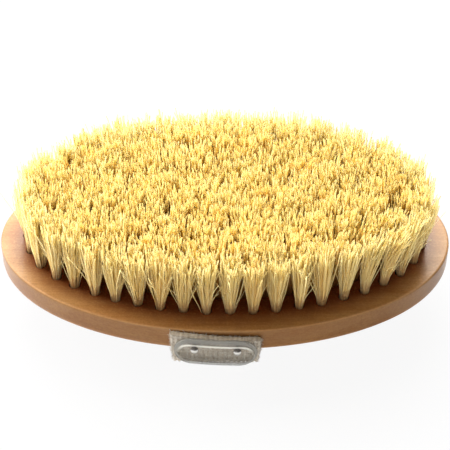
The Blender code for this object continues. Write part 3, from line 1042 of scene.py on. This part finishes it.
def oblong(length, height, steps=24):
    """Outline with round ends as (along, up): two half circles joined by straight lines."""
    radius = height / 2
    turn = np.linspace(-np.pi / 2, np.pi / 2, steps)
    straight = np.linspace(-1, 1, 14)[1:-1] * (length / 2 - radius)
    right = np.column_stack([length / 2 - radius + radius * np.cos(turn), radius * np.sin(turn)])
    top = np.column_stack([-straight, np.full(len(straight), radius)])
    return np.concatenate([right, top, -right, -top])


def plate_profile(look, length, height, rise):
    """(length, height, depth, body) of each ring, from the back round to the panel's middle.

    body is how cloudy the plastic looks there. The panel rises over a smooth step, ends in a
    round bead and sinks a little inside it.
    """
    r = look.edge_round
    turn = np.linspace(0, np.pi / 2, 5)
    outer, panel = (length, height), (look.panel_length, look.panel_height)
    rings = []

    def ring(size, inset, depth, body):
        rings.append((size[0] - inset, size[1] - inset, depth, body))

    ring(panel, 2 * (look.bevel + look.bead), 0.0, 0.0)
    ring(panel, 0.0, 0.0, 0.2)
    ring(outer, 3 * r, 0.0, 0.8)
    ring(outer, 2 * r, 0.0, 1.0)
    for a in turn:
        ring(outer, 2 * r * (1 - math.sin(a)), r * (1 - math.cos(a)), 1.0)
    for a in turn:
        ring(outer, 2 * r * (1 - math.cos(a)), look.flange - r * (1 - math.sin(a)), 1.0)
    for s in np.linspace(0, 1, 6):
        depth = look.flange + (rise - BEAD_RISE) * smooth_step(s, 0, 1)
        ring(panel, 2 * look.bevel * s, depth, 1.0 - 0.6 * s)
    top = look.flange + rise
    for s in np.linspace(0, 1, 7)[1:]:
        depth = top - BEAD_RISE + BEAD_RISE * math.sin(np.pi * s) - PANEL_SINK * s
        ring(panel, 2 * (look.bevel + look.bead * s), depth, 0.4 * (1 - s))
    inner, depth = rings[-1][:2], rings[-1][2]
    for k in (0.5, 1.2):
        ring(inner, 2 * MM * k, depth, 0.0)
    return np.array(rings)


def bored(target, pins):
    """Take pins out of a mesh and keep the result as its mesh."""
    for pin in pins:
        cutter = target.modifiers.new(pin.name, "BOOLEAN")
        cutter.object = pin
        cutter.operation = "DIFFERENCE"
        cutter.solver = "EXACT"
    seen = target.evaluated_get(bpy.context.evaluated_depsgraph_get())
    mesh = bpy.data.meshes.new_from_object(seen)
    target.modifiers.clear()
    target.data = mesh
    for pin in pins:
        bpy.data.objects.remove(pin, do_unlink=True)


def turned(name, profile, x, y, z, side, steps=32):
    """A solid turned about a line along Y: rings of (radius, depth), depth running inwards."""
    profile = np.asarray(profile)
    turn = np.linspace(0, 2 * np.pi, steps, endpoint=False)
    ring_x = x + profile[:, :1] * np.cos(turn)
    ring_z = z + profile[:, :1] * np.sin(turn)
    ring_y = np.broadcast_to(side * (y - profile[:, 1:]), ring_x.shape)
    points = np.stack([ring_x, ring_y, ring_z], -1).reshape(-1, 3)
    ends = [[x, side * (y - depth), z] for depth in profile[[0, -1], 1]]
    points = np.concatenate([points, ends])
    quads, caps = closed_rings(len(profile), steps)
    if side < 0:
        quads, caps = quads[:, ::-1], caps[:, ::-1]
    return mesh_object(name, points, quads, caps, sharp=50)


def tilted(centre, outline, tilt):
    """x and z of an outline's (along, up) points, turned by the tilt about the plate's middle."""
    along, up = outline[..., 0], outline[..., 1]
    x = centre.x + along * math.cos(tilt) + up * math.sin(tilt)
    z = centre.z + up * math.cos(tilt) - along * math.sin(tilt)
    return x, z


def nail_spots(side_name, tilt):
    """(place, x, z) of the two nails on one side: the packed nails, turned with the plate."""
    spots = []
    middle = (PLATE_HIGH + PLATE_LOW) / 2
    for place in ("left", "right"):
        low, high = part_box(f"nail_{side_name}_{place}")
        offset = (low + high) / 2 - middle
        x, z = tilted(middle, np.array([offset.x, offset.z]), tilt)
        spots.append((place, float(x), float(z)))
    return spots


class BRUSH_OT_plates(Operator):
    """Mould the clear plate over each end of the strap"""

    bl_idname = "brush.plates"
    bl_label = "Strap plates"

    def execute(self, context):
        look = context.scene.brush_plates
        material = clear_plastic(look)
        size = PLATE_HIGH - PLATE_LOW
        centre = (PLATE_HIGH + PLATE_LOW) / 2
        back = -PLATE_HIGH.y
        profile = plate_profile(look, size.x, size.z, size.y - look.flange)
        for side_name, side in SIDES.items():
            outline = np.stack([oblong(*sizes[:2]) for sizes in profile])
            x, z = tilted(centre, outline, look.tilt)
            depth = side * (back + profile[:, 2:3] - set_back(x))
            points = np.stack([x, depth, z], -1)
            rings, steps = points.shape[:2]
            ends = points[[0, -1]].mean(1)
            quads, caps = closed_rings(rings, steps)
            if side > 0:
                quads, caps = quads[:, ::-1], caps[:, ::-1]
            flat = np.concatenate([points.reshape(-1, 3), ends])
            piece = mesh_object(f"plate_{side_name}", flat, quads, caps, sharp=60)
            pins = [
                turned(
                    f"bore_{side_name}_{place}",
                    [(look.nail_hole, -2 * MM), (look.nail_hole, 4 * MM)],
                    x,
                    back + size.y,
                    z,
                    side,
                )
                for place, x, z in nail_spots(side_name, look.tilt)
            ]
            point_attribute(piece, "body", np.append(np.repeat(profile[:, 3], steps), [0.0, 0.0]))
            # bead is positive on the bead's upper side, for its painted highlight, and negative on
            # its lower side, for its painted shade.
            on_bead = (profile[:, 2] > size.y - BEAD_BAND) & (profile[:, 3] > 0.05)
            up = outline[..., 1] / (look.panel_height / 2)
            point_attribute(piece, "bead", np.append(on_bead[:, None] * up, [0.0, 0.0]))
            bored(piece, pins)
            piece.data.materials.clear()
            piece.data.materials.append(material)
            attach(piece, BODY)
            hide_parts(f"strap_plate_{side_name}")
        return {"FINISHED"}


class BRUSH_OT_nails(Operator):
    """Turn the four nails with their domed heads"""

    bl_idname = "brush.nails"
    bl_label = "Nails"

    def execute(self, context):
        look = context.scene.brush_plates
        material = bright_steel(look)
        seat = -PLATE_LOW.y + NAIL_LIFT
        for side_name, side in SIDES.items():
            for place, x, z in nail_spots(side_name, look.tilt):
                low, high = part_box(f"nail_{side_name}_{place}")
                head = 0.5 * (high.z - low.z)
                length = high.y - low.y - look.head_height
                shank = SHANK_RADIUS
                turn = np.linspace(np.pi / 2, 0, 9)[1:]
                rise = -look.head_height * (0.16 + 0.84 * np.sin(turn))
                profile = [(head * 0.12, -look.head_height), *zip(head * np.cos(turn), rise)]
                profile += [(head, -0.02 * MM), (head * 0.94, 0.0), (shank, 0.0)]
                profile += [(shank, length - SHANK_TAPER), (shank * 0.15, length)]
                name = f"nail_{side_name}_{place}_piece"
                piece = turned(name, profile, x, seat - float(set_back(x)), z, side)
                heights = np.empty(3 * len(piece.data.vertices), np.float32)
                piece.data.vertices.foreach_get("co", heights)
                # Painted dark reflection: it grows over the upper part of the head.
                tarnish = 0.95 * smooth_step((heights[2::3] - z) / head, 0.25, 0.6)
                point_attribute(piece, "tarnish", tarnish)
                piece.data.materials.append(material)
                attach(piece, BODY)
                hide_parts(f"nail_{side_name}_{place}")
        return {"FINISHED"}


# Stage

WHITE = (1.0, 1.0, 1.0, 1.0)
SENSOR_WIDTH, NEAR_CLIP = 36.0, 0.01
FLOOR_REACH = 4.0
# Place, then width and height
LAMPS = {
    "key": ((-0.1, 0.54, 1.02), (1.2, 0.7)),
    "back": ((-0.1, 0.84, 0.79), (1.1, 0.4)),
    "side": ((-0.88, 0.34, 0.42), (0.6, 0.6)),
    "fill": ((-0.35, -0.9, 0.14), (0.5, 0.3)),
}


def lamp(name, place, target, size, power):
    """An oblong soft lamp, size wide and high, that faces a point."""
    light = bpy.data.lights.new(name, "AREA")
    light.energy = power
    light.shape = "RECTANGLE"
    light.size, light.size_y = size
    made = new_object(name, light)
    made.location = place
    made.rotation_euler = (Vector(target) - Vector(place)).to_track_quat("-Z", "Y").to_euler()


def set_floor(look):
    """A wide pale floor that keeps the brush's shadow and looks near white to the camera."""
    corners = FLOOR_REACH * np.array([(-1, -1, 0), (1, -1, 0), (1, 1, 0), (-1, 1, 0)])
    floor = mesh_object("floor", corners, [[0, 1, 2, 3]])
    m = Nodes("pale_floor")
    grain = m.noise((60, 60, 60), detail=2.0)
    dusty = tuple(0.985 * c for c in look.floor)
    m.wire(Base_Color=m.mix(grain, look.floor, dusty), Roughness=0.9)
    seen = m.node("ShaderNodeLightPath").outputs["Is Camera Ray"]
    share = m.by(seen, look.floor_light)
    white = m.node("ShaderNodeEmission", {"Color": WHITE, "Strength": 1.0}).outputs[0]
    floor.data.materials.append(m.shared(share, white))


def set_sky(look):
    """An even sky that lights softly, and is plain white where it is seen or mirrored."""
    world = bpy.data.worlds.new("studio_sky")
    bpy.context.scene.world = world
    world.use_nodes = True
    world.node_tree.nodes.clear()
    m = NodeTree(world.node_tree)
    rays = m.node("ShaderNodeLightPath").outputs
    seen = m.plus(rays["Is Camera Ray"], rays["Is Transmission Ray"], clamp=True)
    seen = m.plus(seen, rays["Is Glossy Ray"], clamp=True)
    soft, white = (
        m.node("ShaderNodeBackground", {"Color": WHITE, "Strength": strength}).outputs[0]
        for strength in (look.sky, 1.0)
    )
    mixed = m.node("ShaderNodeMixShader", {0: seen, 1: soft, 2: white})
    m.node("ShaderNodeOutputWorld", {"Surface": mixed.outputs[0]})


def set_camera(look):
    """Look down at the brush's front from the photograph's height and distance."""
    data = bpy.data.cameras.new("camera")
    data.lens = look.focal
    data.sensor_width = SENSOR_WIDTH
    data.clip_start = NEAR_CLIP
    camera = new_object("camera", data)
    ahead = Vector((0, math.cos(look.elevation), -math.sin(look.elevation)))
    right = Vector((1, 0, 0))
    over = right.cross(ahead)
    turn = Matrix((right, over, -ahead)).transposed().to_4x4()
    target = Vector((0, 0, FACE_Z + look.aim))
    place = Matrix.Translation(target - look.distance * ahead)
    camera.matrix_world = place @ turn @ Matrix.Rotation(look.roll, 4, "Z")
    bpy.context.scene.camera = camera


class BRUSH_OT_stage(Operator):
    """Set the floor, the sky, the lamps and the camera"""

    bl_idname = "brush.stage"
    bl_label = "Stage"

    def execute(self, context):
        look = context.scene.brush_stage
        set_floor(look)
        set_sky(look)
        for name, (place, size) in LAMPS.items():
            power = getattr(look, f"{name}_power")
            lamp(f"{name}_lamp", place, (0, 0, FACE_Z), size, power)
        set_camera(look)
        bpy.context.scene.view_settings.view_transform = "Standard"
        return {"FINISHED"}


OPERATORS = (
    BRUSH_OT_stage,
    BRUSH_OT_block,
    BRUSH_OT_tufts,
    BRUSH_OT_strap,
    BRUSH_OT_plates,
    BRUSH_OT_nails,
)


class BRUSH_PT_sidebar(Panel):
    """Lists the brush's pieces and what can be changed on them"""

    bl_idname = "BRUSH_PT_sidebar"
    bl_label = "Body brush"
    bl_space_type = "VIEW_3D"
    bl_region_type = "UI"
    bl_category = "Body brush"

    def draw(self, context):
        for operator in OPERATORS:
            self.layout.operator(operator.bl_idname)
        for name, group in LOOKS.items():
            box = self.layout.box()
            box.label(text=group.__doc__)
            for key in group.__annotations__:
                box.prop(getattr(context.scene, name), key)


def register():
    """Make the pieces' operators, their sizes and the panel known."""
    for name, group in LOOKS.items():
        bpy.utils.register_class(group)
        setattr(bpy.types.Scene, name, PointerProperty(type=group))
    for operator in OPERATORS:
        bpy.utils.register_class(operator)
    bpy.utils.register_class(BRUSH_PT_sidebar)


def unregister():
    """Take back what register added."""
    bpy.utils.unregister_class(BRUSH_PT_sidebar)
    for operator in reversed(OPERATORS):
        bpy.utils.unregister_class(operator)
    for name, group in reversed(list(LOOKS.items())):
        delattr(bpy.types.Scene, name)
        bpy.utils.unregister_class(group)


def main():
    """Build every piece in order."""
    register()
    bpy.ops.brush.stage()
    bpy.ops.brush.block()
    bpy.ops.brush.tufts()
    bpy.ops.brush.strap()
    bpy.ops.brush.plates()
    bpy.ops.brush.nails()


if __name__ == "__main__":
    main()
